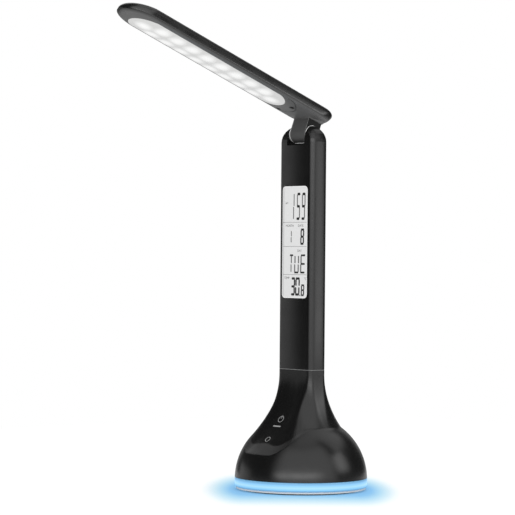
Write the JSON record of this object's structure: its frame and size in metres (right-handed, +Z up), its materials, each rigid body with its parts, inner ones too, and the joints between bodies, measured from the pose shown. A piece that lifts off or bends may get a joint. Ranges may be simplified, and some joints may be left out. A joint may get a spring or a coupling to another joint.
{
  "type": "desk lamp",
  "caption": "Folding desk lamp: a flat lamp head on a hinged neck, a slim column with a calendar display, and a domed base with touch keys and a lit ring.",
  "frame": {"origin": "centre of the base's underside, on the desk", "axes": "+Z up along the column, -Y the way the display and the lamp head face, +X along the hinge axis, to the right of someone who looks at the display"},
  "size_m": [0.1192, 0.2638, 0.4227],
  "materials": {
    "shell_plastic": "black, semi-gloss, moulded",
    "frame_plastic": "black, satin",
    "neck_plastic": "black, satin",
    "button_plastic": "black, satin",
    "inlet_plastic": "black",
    "rim_plastic": "off-white, satin",
    "ring_plastic": "milky, lit pale blue",
    "panel_plastic": "milky diffuser",
    "window_plastic": "clear cover over a reflective display",
    "display_plastic": "display glass and its holder",
    "pad_rubber": "dark grey foam rubber",
    "ballast_steel": "zinc-plated",
    "hinge_steel": "plain steel",
    "screw_steel": "zinc-plated",
    "contact_brass": "plain",
    "heat_aluminium": "mill finish",
    "board_laminate": "solder-masked circuit board",
    "led_package": "light-emitting diode"
  },
  "bodies": {
    "base": {"foot_pad": "pad_rubber", "base_plate": "rim_plastic", "base_screws": "screw_steel", "ballast": "ballast_steel", "light_ring": "ring_plastic", "mood_board": "board_laminate", "mood_lights": "led_package", "main_board": "board_laminate", "power_inlet": "inlet_plastic", "touch_board": "board_laminate", "touch_springs": "contact_brass", "base_shell": "shell_plastic", "column_housing": "shell_plastic", "column_cover": "shell_plastic", "column_screws": "screw_steel", "display_window": "window_plastic", "display_module": "display_plastic", "clock_board": "board_laminate", "hinge_shaft": "hinge_steel", "friction_washers": "hinge_steel", "shaft_nuts": "hinge_steel"},
    "head": {"neck": "neck_plastic", "neck_screws": "screw_steel", "head_shell": "shell_plastic", "heat_plate": "heat_aluminium", "light_board": "board_laminate", "head_lights": "led_package", "light_panel": "panel_plastic", "head_frame": "frame_plastic", "head_screws": "screw_steel"},
    "mode_button": {"mode_button": "button_plastic"},
    "up_button": {"up_button": "button_plastic"},
    "down_button": {"down_button": "button_plastic"}
  },
  "joints": [
    {"name": "head_hinge", "type": "hinge", "parent": "base", "child": "head", "pos_m": [0, 0, 0.3199], "axis": [1, 0, 0], "range_deg": [-23.8, 111.2]},
    {"name": "mode_button_press", "type": "slide", "parent": "base", "child": "mode_button", "axis": [0, -1, 0], "range_m": [0, 0.0006], "stiffness_N_per_m": 800},
    {"name": "up_button_press", "type": "slide", "parent": "base", "child": "up_button", "axis": [0, -1, 0], "range_m": [0, 0.0006], "stiffness_N_per_m": 800},
    {"name": "down_button_press", "type": "slide", "parent": "base", "child": "down_button", "axis": [0, -1, 0], "range_m": [0, 0.0006], "stiffness_N_per_m": 800}
  ]
}
